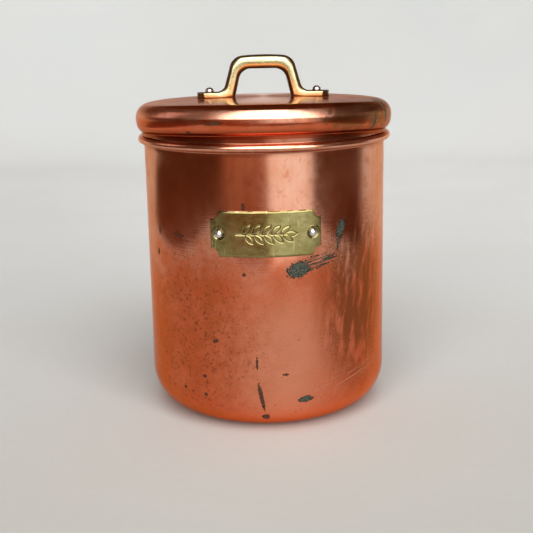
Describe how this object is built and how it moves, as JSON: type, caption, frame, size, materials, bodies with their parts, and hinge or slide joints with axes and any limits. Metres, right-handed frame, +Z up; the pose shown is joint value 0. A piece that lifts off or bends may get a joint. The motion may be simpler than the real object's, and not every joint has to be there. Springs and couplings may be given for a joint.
{
  "type": "tea caddy",
  "caption": "Round copper tea caddy with a rounded base, a slip-on raised lid with a brass lifting handle, and a riveted brass label plate on the front.",
  "frame": {"origin": "centre of the base, on the surface that the caddy stands on", "axes": "+Z up along the canister's axis, -Y towards the label, +X to the right seen from the label's side, along the handle"},
  "size_m": [0.1272, 0.1272, 0.1767],
  "materials": {
    "copper": "old lacquered copper, satin polish with brush marks",
    "handle_brass": "polished cast brass with dark edges",
    "label_brass": "dulled sheet brass",
    "rivet_aluminium": "polished"
  },
  "bodies": {
    "canister": {"canister_body": "copper", "label_plate": "label_brass", "label_rivet_right": "rivet_aluminium", "label_rivet_left": "rivet_aluminium"},
    "lid": {"lid": "copper", "handle": "handle_brass", "handle_rivet_right": "rivet_aluminium", "handle_rivet_left": "rivet_aluminium", "handle_washer_right": "rivet_aluminium", "handle_washer_left": "rivet_aluminium"}
  },
  "joints": [
    {"name": "lid_lift", "type": "slide", "parent": "canister", "child": "lid", "axis": [0, 0, 1], "range_m": [0, 0.15]}
  ]
}
